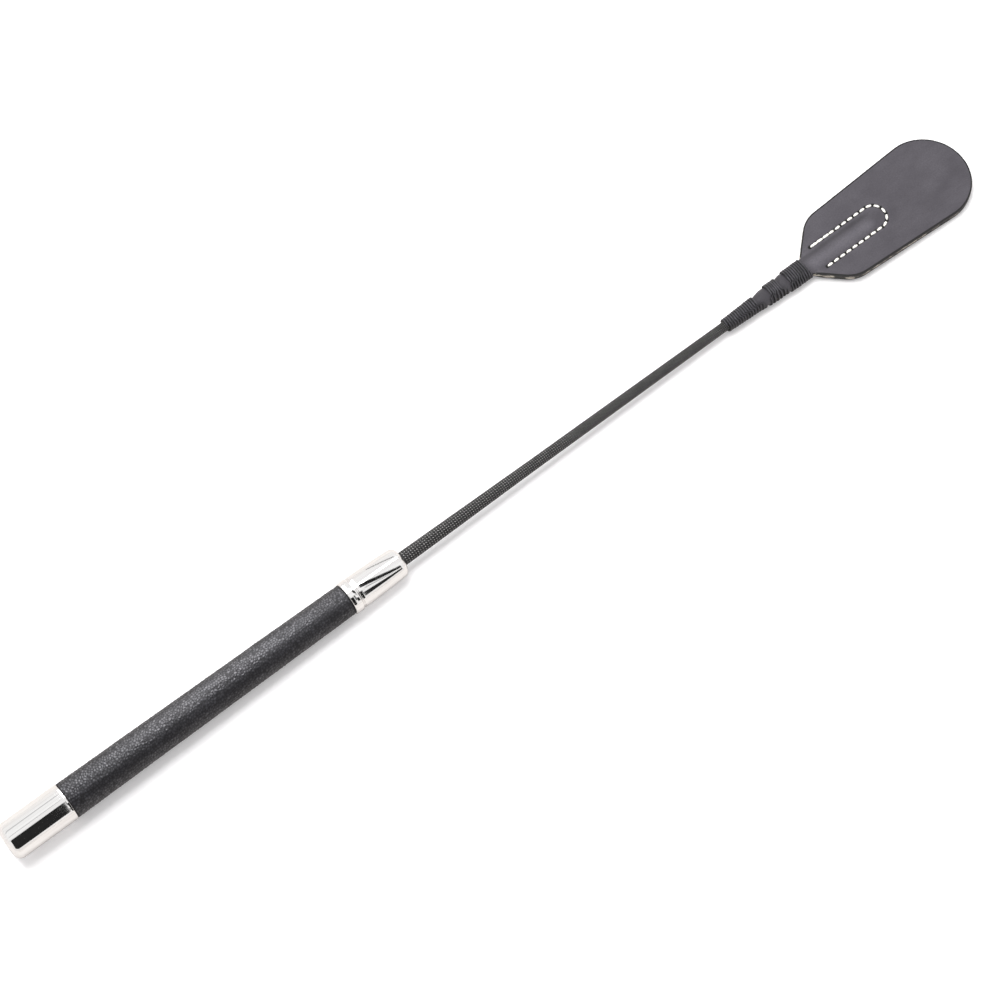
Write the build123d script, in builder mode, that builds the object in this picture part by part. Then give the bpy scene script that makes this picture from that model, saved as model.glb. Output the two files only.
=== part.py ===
"""Riding crop: capped leather grip, plated ferrule, braided shaft and a stitched leather keeper.

The crop lies along +X, from the butt at x = 0 to the tip of the keeper, on the axis of its shaft.
+Z is square to the two faces of the keeper. All sizes are in millimetres.
"""

import os
from math import cos, degrees, pi, sin

from build123d import *

# Overall
overall_length = 500.0

# Butt cap: a spun cup glued over the end of the core
cap_length = 28.5
cap_diameter = 16.4
cap_wall = 0.7
cap_end_radius = 3.2
cap_rim_radius = 0.25

# Grip: leather round a turned core, its butt end just under the rim of the cap
grip_length = 137.3
rim_step = 0.1
grip_butt_diameter = cap_diameter - 2 * rim_step
grip_tip_diameter = 14.0
cover_thickness = 1.3
cover_seam_gap = 0.25
glue_gap = 0.05

# Ferrule: collar, groove and bullet nose, over a spigot of the core
collar_width = 4.0
collar_diameter = 15.0
collar_edge_radius = 0.6
groove_width = 0.9
groove_diameter = 13.6
nose_length = 23.1
nose_diameter = 14.4
mouth_diameter = 12.8
mouth_edge_radius = 2.8
spigot_diameter = 10.8
spigot_length = 11.0

# Shaft: a tapered rod in a braided sleeve, its three diameters measured over the braid
shaft_length = 172.2
shaft_butt_diameter = 6.2
shaft_middle_diameter = 5.0
shaft_tip_diameter = 4.4
shaft_fast_taper_length = 68.0
braid_wall = 0.55
braid_hidden_length = 12.0
rod_hidden_length = 96.0
rod_end_diameter = 2.5
running_gap = 0.1

# Whipping: three bands with two windows between them, from the shaft to the keeper
lower_band_length = 18.0
lower_window_length = 6.2
middle_band_length = 6.8
upper_window_length = 3.6
upper_band_length = 11.0
thread_diameter = 0.65
thread_pitch = 1.2
turn_depth = 0.15

# Leather tails bound under the whipping
tail_setback = 1.4
tail_start_thickness = 0.2
tail_lower_thickness = 0.85
tail_middle_width = 7.7
tail_middle_thickness = 0.8
neck_width = 8.8
neck_leather = 1.1

# Keeper: two layers, with a hump where the rod lies between them
leather_thickness = 2.0
bond_gap = 0.02
shoulder_length = 14.0
shoulder_width = 35.0
shoulder_radius = 14.0
tip_diameter = 40.4
hump_width = 8.4
hump_leather = 1.45
hump_run_out = 2.0

# Stitching: one U-shaped row on each face
stitch_pitch = 3.5
stitch_length = 2.5
stitch_width = 0.9
stitch_height = 0.35
row_spacing = 11.5
row_setback = 7.5
row_length = 30.6
rod_end_past_turn = 1.4

# Stations along the crop, measured from the butt
grip_start = cap_length
collar_start = grip_start + grip_length
groove_start = collar_start + collar_width
nose_start = groove_start + groove_width
mouth = nose_start + nose_length
lower_band_start = mouth + shaft_length
lower_band_end = lower_band_start + lower_band_length
middle_band_start = lower_band_end + lower_window_length
middle_band_end = middle_band_start + middle_band_length
upper_band_start = middle_band_end + upper_window_length
neck = upper_band_start + upper_band_length
shoulder = neck + shoulder_length
tip_centre = overall_length - tip_diameter / 2
row_start = neck + row_setback
row_turn = row_start + row_length
row_radius = row_spacing / 2
rod_start = collar_start - rod_hidden_length
rod_end = row_turn + rod_end_past_turn
braid_start = mouth - braid_hidden_length
braid_end = middle_band_end
core_start = cap_wall + glue_gap
core_end = collar_start + spigot_length

# Outside of the braid: a fast taper near the ferrule, then a slow one to the keeper
braid_outline = [
    (braid_start, shaft_butt_diameter / 2),
    (mouth, shaft_butt_diameter / 2),
    (mouth + shaft_fast_taper_length, shaft_middle_diameter / 2),
    (lower_band_start, shaft_tip_diameter / 2),
    (braid_end, shaft_tip_diameter / 2),
]
rod_outline = (
    [(rod_start, shaft_butt_diameter / 2 - braid_wall - glue_gap)]
    + [(x, radius - braid_wall - glue_gap) for x, radius in braid_outline]
    + [(rod_end, rod_end_diameter / 2)]
)


def radius_at(outline, x):
    """Radius of a row of (x, radius) points at station x."""
    for (x0, r0), (x1, r1) in zip(outline, outline[1:]):
        if x0 <= x <= x1:
            return r0 + (r1 - r0) * (x - x0) / (x1 - x0)
    return outline[-1][1]


# Oval sections of the two leather layers along the rod: station, half width, half height
start_radius = shaft_tip_diameter / 2 + tail_start_thickness
lower_radius = shaft_tip_diameter / 2 + tail_lower_thickness
hump_middle = row_start + row_length / 2
leather_sections = [
    (lower_band_start + tail_setback, start_radius, start_radius),
    (lower_band_end, lower_radius, lower_radius),
    (middle_band_start, tail_middle_width / 2, shaft_tip_diameter / 2 + tail_middle_thickness),
    (middle_band_end, tail_middle_width / 2, shaft_tip_diameter / 2 + tail_middle_thickness),
    (upper_band_start, neck_width / 2, radius_at(rod_outline, upper_band_start) + neck_leather),
    (neck, neck_width / 2, radius_at(rod_outline, neck) + neck_leather),
    (hump_middle, hump_width / 2, radius_at(rod_outline, hump_middle) + hump_leather),
    (row_turn, hump_width / 2, radius_at(rod_outline, row_turn) + hump_leather),
    (rod_end + hump_run_out, hump_width / 2 - hump_run_out, leather_thickness - glue_gap),
]


def turned(outline, gap=0.0):
    """Solid of revolution under a row of (x, radius) points, grown by a gap."""
    first = outline[0][0] - gap
    last = outline[-1][0] + gap
    grown = [(x, radius + gap) for x, radius in outline]
    points = [(first, 0), (first, grown[0][1])] + grown[1:-1] + [(last, grown[-1][1]), (last, 0)]
    with BuildPart() as solid:
        with BuildSketch(Plane.XZ):
            with BuildLine():
                Polyline(*points, close=True)
            make_face()
        revolve(axis=Axis.X)
    return solid.part


def section_size(x):
    """Half width and half height of the bound leather at station x."""
    before = leather_sections[0]
    for after in leather_sections[1:]:
        if x <= after[0]:
            break
        before = after
    share = max(0.0, (x - before[0]) / (after[0] - before[0]))
    width = before[1] + (after[1] - before[1]) * share
    height = before[2] + (after[2] - before[2]) * share
    return width, height


def oval_loft(sections):
    """Straight-sided loft through ovals given as (station, half width, half height)."""
    with BuildPart() as solid:
        for x, half_width, half_height in sections:
            with BuildSketch(Plane.YZ.offset(x)):
                Ellipse(half_width, half_height)
        loft(ruled=True)
    return solid.part


def whipping(start, length):
    """One band of thread: an oval sleeve round the leather with a shallow valley at each turn."""
    turns = round(length / thread_pitch)
    step = length / turns / 2
    outer_sections = []
    for half_turn in range(2 * turns + 1):
        x = start + step * half_turn
        cover = thread_diameter - (turn_depth if half_turn % 2 == 0 else 0)
        half_width, half_height = section_size(x)
        outer_sections.append((x, half_width + cover, half_height + cover))
    inner_sections = []
    corners = [x for x, _, _ in leather_sections if start < x < start + length]
    for x in [start] + corners + [start + length]:
        half_width, half_height = section_size(x)
        inner_sections.append((x, half_width + running_gap, half_height + running_gap))
    outer = oval_loft(outer_sections)
    inner = oval_loft(inner_sections)
    with BuildPart() as band:
        add(outer)
        add(inner, mode=Mode.SUBTRACT)
    return band


def keeper_layer(side):
    """One leather layer with its tail: side is 1 for the front and -1 for the back."""
    bound_leather = oval_loft(leather_sections)
    rod_room = turned(rod_outline, running_gap)
    braid_room = turned(braid_outline, running_gap)
    face = Plane(origin=(0, 0, side * bond_gap / 2), x_dir=(1, 0, 0), z_dir=(0, 0, side))
    kept = Keep.TOP if side > 0 else Keep.BOTTOM
    with BuildPart() as layer:
        add(bound_leather)
        split(bisect_by=Plane.XY.offset(side * bond_gap / 2), keep=kept)
        with BuildSketch(face) as outline:
            with BuildLine():
                Line((neck, -neck_width / 2), (neck, neck_width / 2))
                Line((shoulder, -shoulder_width / 2), (shoulder, shoulder_width / 2))
                CenterArc((tip_centre, 0), tip_diameter / 2, 0, 360)
            make_hull()
            fillet(outline.vertices().group_by(Axis.X)[1], shoulder_radius)
        extrude(amount=leather_thickness - bond_gap / 2)
        add(rod_room, mode=Mode.SUBTRACT)
        add(braid_room, mode=Mode.SUBTRACT)
    return layer


def stitch_row(height):
    """Stitches along one U: out beside the rod, round its end and back, seated at a height."""
    straight = row_length
    bend = pi * row_radius
    count = int((2 * straight + bend) / stitch_pitch) + 1
    margin = (2 * straight + bend - (count - 1) * stitch_pitch) / 2
    places = []
    for number in range(count):
        run = margin + number * stitch_pitch
        if run < straight:
            places.append(Location((row_start + run, row_radius, 0)))
        elif run > straight + bend:
            places.append(Location((row_turn - (run - straight - bend), -row_radius, 0)))
        else:
            turn = (run - straight) / row_radius
            x = row_turn + row_radius * sin(turn)
            y = row_radius * cos(turn)
            places.append(Location((x, y, 0), (0, 0, -degrees(turn))))
    with BuildPart() as row:
        with BuildSketch(Plane.XY.offset(height)):
            with Locations(*places):
                SlotOverall(stitch_length, stitch_width)
        extrude(amount=stitch_height)
    return row


os.makedirs("parts", exist_ok=True)

# Handle core: head in the cap, tapered body under the leather, spigot in the ferrule, blind bore
head_radius = cap_diameter / 2 - cap_wall - glue_gap
rod_socket = turned(rod_outline, running_gap)
with BuildPart() as grip_core:
    with BuildSketch(Plane.XZ):
        with BuildLine():
            Polyline(
                (core_start, 0),
                (core_start, head_radius),
                (grip_start, head_radius),
                (grip_start, grip_butt_diameter / 2 - cover_thickness - glue_gap),
                (collar_start, grip_tip_diameter / 2 - cover_thickness - glue_gap),
                (collar_start, spigot_diameter / 2),
                (core_end, spigot_diameter / 2),
                (core_end, 0),
                close=True,
            )
        make_face()
    revolve(axis=Axis.X)
    fillet(grip_core.edges().group_by(Axis.X)[0], cap_end_radius - cap_wall)
    add(rod_socket, mode=Mode.SUBTRACT)
grip_core.part.label = "grip_core"
export_step(grip_core.part, "parts/grip_core.step")

# Butt cap: rounded rim, flat end face
with BuildPart() as butt_cap:
    with BuildSketch(Plane.YZ):
        Circle(cap_diameter / 2)
    extrude(amount=cap_length)
    fillet(butt_cap.edges().group_by(Axis.X)[0], cap_end_radius)
    offset(amount=-cap_wall, openings=butt_cap.faces().sort_by(Axis.X)[-1])
    fillet(butt_cap.edges().group_by(Axis.X)[-1].sort_by(SortBy.RADIUS)[-1], cap_rim_radius)
butt_cap.part.label = "butt_cap"
export_step(butt_cap.part, "parts/butt_cap.step")

# Grip cover: tapered leather tube, its edges meeting in one seam along the underside
with BuildPart() as grip_cover:
    with BuildSketch(Plane.XZ):
        with BuildLine():
            Polyline(
                (grip_start, grip_butt_diameter / 2 - cover_thickness),
                (grip_start, grip_butt_diameter / 2),
                (collar_start, grip_tip_diameter / 2),
                (collar_start, grip_tip_diameter / 2 - cover_thickness),
                close=True,
            )
        make_face()
    revolve(axis=Axis.X)
    with BuildSketch(Plane.XY):
        with Locations(((grip_start + collar_start) / 2, 0)):
            Rectangle(grip_length, cover_seam_gap)
    extrude(amount=-grip_butt_diameter, mode=Mode.SUBTRACT)
grip_cover.part.label = "grip_cover"
export_step(grip_cover.part, "parts/grip_cover.step")

# Ferrule: one turning, bored for the braided shaft and counterbored for the spigot
with BuildPart() as ferrule:
    with BuildSketch(Plane.XZ):
        with BuildLine():
            Polyline(
                (mouth, mouth_diameter / 2),
                (mouth, 0),
                (collar_start, 0),
                (collar_start, collar_diameter / 2),
                (groove_start, collar_diameter / 2),
                (groove_start, groove_diameter / 2),
                (nose_start, groove_diameter / 2),
                (nose_start, nose_diameter / 2),
            )
            TangentArc((nose_start, nose_diameter / 2), (mouth, mouth_diameter / 2), tangent=(1, 0))
        make_face()
    revolve(axis=Axis.X)
    collar = ferrule.faces().filter_by(GeomType.CYLINDER).sort_by(SortBy.AREA)[-1]
    fillet(collar.edges().filter_by(GeomType.CIRCLE), collar_edge_radius)
    fillet(ferrule.edges().group_by(Axis.X)[-1], mouth_edge_radius)
    with BuildSketch(Plane.YZ.offset(collar_start)):
        Circle(spigot_diameter / 2 + glue_gap)
    extrude(amount=spigot_length + glue_gap, mode=Mode.SUBTRACT)
    with BuildSketch(Plane.YZ.offset(collar_start)):
        Circle(shaft_butt_diameter / 2 + glue_gap)
    extrude(amount=mouth - collar_start, mode=Mode.SUBTRACT)
ferrule.part.label = "ferrule"
export_step(ferrule.part, "parts/ferrule.step")

# Rod: parallel in the handle, tapered outside it, ending between the two layers of the keeper
with BuildPart() as shaft_rod:
    add(turned(rod_outline))
shaft_rod.part.label = "shaft_rod"
export_step(shaft_rod.part, "parts/shaft_rod.step")

# Braid: a thin sleeve over the rod
braid_bore = turned(rod_outline, glue_gap)
with BuildPart() as shaft_braid:
    add(turned(braid_outline))
    add(braid_bore, mode=Mode.SUBTRACT)
shaft_braid.part.label = "shaft_braid"
export_step(shaft_braid.part, "parts/shaft_braid.step")

# Whipping bands
whipping_lower = whipping(lower_band_start, lower_band_length)
whipping_lower.part.label = "whipping_lower"
export_step(whipping_lower.part, "parts/whipping_lower.step")

whipping_middle = whipping(middle_band_start, middle_band_length)
whipping_middle.part.label = "whipping_middle"
export_step(whipping_middle.part, "parts/whipping_middle.step")

whipping_upper = whipping(upper_band_start, upper_band_length)
whipping_upper.part.label = "whipping_upper"
export_step(whipping_upper.part, "parts/whipping_upper.step")

# Keeper layers
keeper_front = keeper_layer(1)
keeper_front.part.label = "keeper_front"
export_step(keeper_front.part, "parts/keeper_front.step")

keeper_back = keeper_layer(-1)
keeper_back.part.label = "keeper_back"
export_step(keeper_back.part, "parts/keeper_back.step")

# Stitching, on the front and on the back
keeper_stitching = stitch_row(leather_thickness)
keeper_stitching.part.label = "keeper_stitching"
export_step(keeper_stitching.part, "parts/keeper_stitching.step")

keeper_bobbin_thread = stitch_row(-leather_thickness - stitch_height)
keeper_bobbin_thread.part.label = "keeper_bobbin_thread"
export_step(keeper_bobbin_thread.part, "parts/keeper_bobbin_thread.step")
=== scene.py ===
import bmesh
import bpy
import numpy as np
from mathutils import Matrix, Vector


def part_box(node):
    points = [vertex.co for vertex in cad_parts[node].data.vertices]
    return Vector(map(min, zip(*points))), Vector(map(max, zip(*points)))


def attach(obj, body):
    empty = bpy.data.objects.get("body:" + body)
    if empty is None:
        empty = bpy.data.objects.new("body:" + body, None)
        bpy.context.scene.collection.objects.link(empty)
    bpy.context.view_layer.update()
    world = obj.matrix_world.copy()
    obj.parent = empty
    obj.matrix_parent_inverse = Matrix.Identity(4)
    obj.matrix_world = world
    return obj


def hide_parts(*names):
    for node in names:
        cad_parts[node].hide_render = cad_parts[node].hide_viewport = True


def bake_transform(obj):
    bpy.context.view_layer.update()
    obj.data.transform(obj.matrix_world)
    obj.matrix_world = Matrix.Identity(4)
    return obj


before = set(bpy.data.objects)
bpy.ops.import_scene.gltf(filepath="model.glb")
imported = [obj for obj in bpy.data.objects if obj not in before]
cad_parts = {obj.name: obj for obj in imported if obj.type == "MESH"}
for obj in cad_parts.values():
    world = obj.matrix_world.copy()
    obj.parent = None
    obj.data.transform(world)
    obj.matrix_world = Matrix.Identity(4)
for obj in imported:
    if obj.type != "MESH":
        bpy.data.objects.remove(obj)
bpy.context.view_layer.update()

# Riding crop: it lies along +X from the butt to the keeper's tip, +Z square to the keeper.
mm = 0.001
bodies = {"handle": "handle", "tip": "shaft_tip", "flap": "keeper"}


def span(node):
    # lowest and highest corner of a CAD node, in millimetres
    low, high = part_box(node)
    return np.array(low) / mm, np.array(high) / mm


def smooth(value, low, high):
    # 0 below low, 1 above high, the cubic 3t^2 - 2t^3 between them
    t = np.clip((value - low) / (high - low), 0, 1)
    return t * t * (3 - 2 * t)


def arcPoints(x, y, radius, first, last, count):
    # points of a circle's arc about (x, y), from one angle to another in degrees
    angle = np.radians(np.linspace(first, last, count))
    return np.stack([x + radius * np.cos(angle), y + radius * np.sin(angle)], axis=-1)


def linePoints(start, end, count):
    # evenly spaced points of a straight line, both ends kept
    return np.linspace(start, end, count)


def buildSurface(name, points, material, wrapAlong=False, wrapAround=True, uv=None, slotOf=None, extra=None):
    # points[strand, i, j] in mm: face (i, j) joins row i to i + 1 and column j to j + 1, the last
    # to the first where the grid closes; doubles are merged, which closes poles and seams
    if points.ndim == 3:
        points = points[None]
    strands, rows, columns = points.shape[:3]
    i, j = np.indices((rows - (not wrapAlong), columns - (not wrapAround)))
    nextI, nextJ = (i + 1) % rows, (j + 1) % columns
    ring = ((i, j), (nextI, j), (nextI, nextJ), (i, nextJ))
    corners = np.stack([row * columns + column for row, column in ring], axis=-1)
    quads = (corners.reshape(1, -1, 4) + (np.arange(strands) * rows * columns)[:, None, None]).reshape(-1, 4)
    flat = points.reshape(-1, 3) * mm
    a, b, c, d = (flat[quads[:, k]] for k in range(4))
    volume = np.sum(a * (np.cross(b, c) + np.cross(c, d)))
    order = [0, 1, 2, 3] if volume > 0 else [3, 2, 1, 0]
    mesh = bpy.data.meshes.new(name)
    mesh.from_pydata(flat, [], quads[:, order].tolist())
    if uv is not None:
        along, around = uv
        corner = np.stack([
            np.stack([along[i], along[i + 1], along[i + 1], along[i]], axis=-1),
            np.stack([around[j], around[j], around[j + 1], around[j + 1]], axis=-1),
        ], axis=-1)[:, :, order].reshape(-1, 2)
        layer = mesh.uv_layers.new(name="Strand")
        layer.data.foreach_set("uv", np.tile(corner, (strands, 1)).astype(np.float32).ravel())
    if slotOf is not None:
        mesh.polygons.foreach_set("material_index", np.tile(slotOf[j].ravel(), strands).astype(np.int32))
    for key, values in (extra or {}).items():
        layer = mesh.attributes.new(key, "FLOAT", "POINT")
        layer.data.foreach_set("value", values.astype(np.float32).ravel())
    mesh.polygons.foreach_set("use_smooth", np.ones(len(mesh.polygons), bool))
    work = bmesh.new()
    work.from_mesh(mesh)
    bmesh.ops.remove_doubles(work, verts=work.verts, dist=2e-7)
    work.to_mesh(mesh)
    work.free()
    for each in material if isinstance(material, list) else [material]:
        mesh.materials.append(each)
    piece = bpy.data.objects.new(name, mesh)
    bpy.context.scene.collection.objects.link(piece)
    return piece


def spin(profile, count):
    # a closed (x, radius) outline carried round the X axis: y = r cos(a), z = r sin(a)
    angle = np.linspace(0, 2 * np.pi, count, endpoint=False)
    x, radius = profile[:, :1], profile[:, 1:]
    return np.stack([x + 0 * angle, radius * np.cos(angle), radius * np.sin(angle)], axis=-1)


def linear(hexCode):
    # sRGB hex to linear RGBA
    value = np.array([int(hexCode[k:k + 2], 16) for k in (1, 3, 5)]) / 255
    value = np.where(value <= 0.04045, value / 12.92, ((value + 0.055) / 1.055) ** 2.4)
    return (*value, 1.0)


def addNode(tree, kind, inputs=None, **settings):
    # one node with its settings; a node or socket given as an input is linked, anything else is a value
    node = tree.nodes.new(kind)
    for key, value in settings.items():
        setattr(node, key, value)
    for key, value in (inputs or {}).items():
        if isinstance(value, bpy.types.Node):
            value = value.outputs[0]
        if isinstance(value, bpy.types.NodeSocket):
            tree.links.new(value, node.inputs[key])
        else:
            node.inputs[key].default_value = value
    return node


def newMaterial(finish):
    # a material named for its finish, whose shader takes the inputs that the finish works out
    material = bpy.data.materials.new(finish.__name__)
    material.use_nodes = True
    tree = material.node_tree
    tree.nodes.clear()
    shader = addNode(tree, "ShaderNodeBsdfPrincipled", finish(tree))
    addNode(tree, "ShaderNodeOutputMaterial", {"Surface": shader})
    return material


def brightNickelPlate(tree):
    # Bright nickel plate, spun and buffed: a bright mirror with faint lengthwise polishing haze.
    place = addNode(tree, "ShaderNodeTexCoord").outputs["Object"]
    drawn = addNode(tree, "ShaderNodeMapping", {"Vector": place, "Scale": (25, 900, 900)})
    lines = addNode(tree, "ShaderNodeTexNoise", {"Vector": drawn, "Scale": 1.0, "Detail": 3.0})
    clouds = addNode(tree, "ShaderNodeTexNoise", {"Vector": place, "Scale": 140.0, "Detail": 2.0})
    share = addNode(tree, "ShaderNodeMapRange", {"Value": lines, "From Min": 0.35, "From Max": 0.7})
    tint = addNode(tree, "ShaderNodeMix", {
        0: share, 6: linear("#f4f3f2"), 7: linear("#e7e5e4")}, data_type="RGBA")
    haze = addNode(tree, "ShaderNodeMapRange", {
        "Value": clouds, "From Min": 0.3, "From Max": 0.7, "To Min": 0.035, "To Max": 0.085})
    relief = addNode(tree, "ShaderNodeBump", {"Height": lines, "Strength": 0.05, "Distance": 0.00001})
    return {"Base Color": tint.outputs[2], "Metallic": 1.0, "Roughness": haze, "Normal": relief}


def pebbledCowhide(tree):
    # Embossed cowhide, drum dyed and satin finished: domed pebbles shine, the creases stay dull and carry painted
    # shade, near black.
    place = addNode(tree, "ShaderNodeTexCoord").outputs["Object"]
    grain = addNode(tree, "ShaderNodeAttribute", attribute_name="Grain").outputs["Fac"]
    pores = addNode(tree, "ShaderNodeTexNoise", {
        "Vector": place, "Scale": 3200.0, "Detail": 3.0, "Roughness": 0.6})
    blotch = addNode(tree, "ShaderNodeTexNoise", {"Vector": place, "Scale": 90.0, "Detail": 2.0})
    patch = addNode(tree, "ShaderNodeMapRange", {"Value": blotch, "From Min": 0.35, "From Max": 0.65})
    wearAndHighlightTone = addNode(tree, "ShaderNodeMix", {
        0: patch, 6: linear("#1f1f22"), 7: linear("#2a2a2e")}, data_type="RGBA")
    # painted shade: the creases between the pebbles darken to near black with the grain height
    paintedLightShare = addNode(tree, "ShaderNodeMapRange", {"Value": grain, "From Min": 0.1, "From Max": 0.7})
    tint = addNode(tree, "ShaderNodeMix", {
        0: paintedLightShare, 6: linear("#070708"), 7: wearAndHighlightTone.outputs[2]}, data_type="RGBA")
    dull = addNode(tree, "ShaderNodeMapRange", {
        "Value": grain, "From Min": 0.1, "From Max": 0.9, "To Min": 0.65, "To Max": 0.3})
    coat = addNode(tree, "ShaderNodeMapRange", {
        "Value": grain, "From Min": 0.3, "From Max": 0.9, "To Min": 0.05, "To Max": 0.75})
    stretch = addNode(tree, "ShaderNodeMapping", {"Vector": place, "Scale": (45, 420, 420)})
    drawn = addNode(tree, "ShaderNodeTexNoise", {"Vector": stretch, "Scale": 1.0, "Detail": 2.0})
    wrinkles = addNode(tree, "ShaderNodeBump", {"Height": drawn, "Strength": 0.7, "Distance": 0.0005})
    relief = addNode(tree, "ShaderNodeBump", {
        "Height": pores, "Strength": 0.5, "Distance": 0.00006, "Normal": wrinkles})
    return {
        "Base Color": tint.outputs[2], "Roughness": dull, "IOR": 1.5, "Normal": relief,
        "Specular Tint": (0.96, 0.94, 1.0, 1.0), "Coat Weight": coat, "Coat Roughness": 0.13,
        "Coat Normal": relief}


def braidedNylonYarn(tree):
    # Round-braided nylon yarn, black: each float is a bundle of fine glossy filaments; the crowns of the floats
    # carry a painted grey highlight, so the sleeve reads as pale specks on black.
    strand = addNode(tree, "ShaderNodeUVMap", uv_map="Strand")
    place = addNode(tree, "ShaderNodeTexCoord").outputs["Object"]
    # 9 filament bundles over the yarn's width, real filaments being far too fine to show
    lay = addNode(tree, "ShaderNodeMapping", {"Vector": strand, "Scale": (0.02, 1, 1)})
    wave = addNode(tree, "ShaderNodeTexWave", {
        "Vector": lay, "Scale": 1.4, "Distortion": 1.2, "Detail": 2.0}, bands_direction="Y")
    highlightNoise = addNode(tree, "ShaderNodeTexNoise", {"Vector": place, "Scale": 700.0, "Detail": 2.0})
    crownHighlight = addNode(tree, "ShaderNodeAttribute", attribute_name="CrownHighlight").outputs["Fac"]
    patch = addNode(tree, "ShaderNodeMapRange", {"Value": highlightNoise, "From Min": 0.3, "From Max": 0.7})
    wearAndHighlightTone = addNode(tree, "ShaderNodeMix", {
        0: patch, 6: linear("#8f8d8c"), 7: linear("#d6d4d2")}, data_type="RGBA")
    # painted highlight: a float's crown turns pale grey while it lies on top, its tone varied by noise
    paintedHighlightMix = addNode(tree, "ShaderNodeMapRange", {"Value": crownHighlight, "From Min": 0.66, "From Max": 1.0})
    base = addNode(tree, "ShaderNodeMix", {
        0: paintedHighlightMix, 6: linear("#060607"), 7: wearAndHighlightTone.outputs[2]}, data_type="RGBA")
    gaps = addNode(tree, "ShaderNodeMapRange", {"Value": wave, "To Max": 0.3})
    tint = addNode(tree, "ShaderNodeMix", {
        0: gaps, 6: base.outputs[2], 7: linear("#0b0b0c")}, data_type="RGBA")
    relief = addNode(tree, "ShaderNodeBump", {"Height": wave, "Strength": 0.5, "Distance": 0.00004})
    return {"Base Color": tint.outputs[2], "Roughness": 0.4, "IOR": 1.53, "Normal": relief}


def groundGlassFibre(tree):
    # Pultruded glass-fibre rod, ground: pale resin with long fibres.
    place = addNode(tree, "ShaderNodeTexCoord").outputs["Object"]
    lay = addNode(tree, "ShaderNodeMapping", {"Vector": place, "Scale": (60, 4000, 4000)})
    fibres = addNode(tree, "ShaderNodeTexNoise", {"Vector": lay, "Scale": 1.0, "Detail": 3.0})
    tint = addNode(tree, "ShaderNodeMix", {
        0: fibres, 6: linear("#b9b08d"), 7: linear("#dcd6bd")}, data_type="RGBA")
    relief = addNode(tree, "ShaderNodeBump", {"Height": fibres, "Strength": 0.4, "Distance": 0.00003})
    return {"Base Color": tint.outputs[2], "Roughness": 0.55, "IOR": 1.52, "Normal": relief}


def waxedBraidThread(tree):
    # Flat waxed thread, black: each turn is a ribbon of plies with a soft waxy shine, a painted highlight along
    # its crest and painted shade, near black, down its sides.
    strand = addNode(tree, "ShaderNodeUVMap", uv_map="Strand")
    place = addNode(tree, "ShaderNodeTexCoord").outputs["Object"]
    lay = addNode(tree, "ShaderNodeMapping", {"Vector": strand, "Scale": (1.0, 0.9, 1)})
    plies = addNode(tree, "ShaderNodeTexWave", {
        "Vector": lay, "Scale": 0.55, "Distortion": 0.6, "Detail": 1.0}, bands_direction="DIAGONAL")
    wax = addNode(tree, "ShaderNodeTexNoise", {"Vector": place, "Scale": 420.0, "Detail": 3.0})
    crestHighlight = addNode(tree, "ShaderNodeAttribute", attribute_name="CrestHighlight").outputs["Fac"]
    patch = addNode(tree, "ShaderNodeMapRange", {"Value": wax, "From Min": 0.35, "From Max": 0.7})
    top = addNode(tree, "ShaderNodeMix", {
        0: patch, 6: linear("#2a292d"), 7: linear("#4a484e")}, data_type="RGBA")
    # painted highlight on the crest of each turn, painted shade on its sides
    paintedLightShare = addNode(tree, "ShaderNodeMapRange", {"Value": crestHighlight, "From Min": 0.66, "From Max": 1.0})
    tint = addNode(tree, "ShaderNodeMix", {
        0: paintedLightShare, 6: linear("#030304"), 7: top.outputs[2]}, data_type="RGBA")
    shine = addNode(tree, "ShaderNodeMapRange", {
        "Value": wax, "From Min": 0.3, "From Max": 0.7, "To Min": 0.34, "To Max": 0.55})
    relief = addNode(tree, "ShaderNodeBump", {"Height": plies, "Strength": 0.5, "Distance": 0.00005})
    return {"Base Color": tint.outputs[2], "Roughness": shine, "IOR": 1.48, "Normal": relief}


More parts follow.
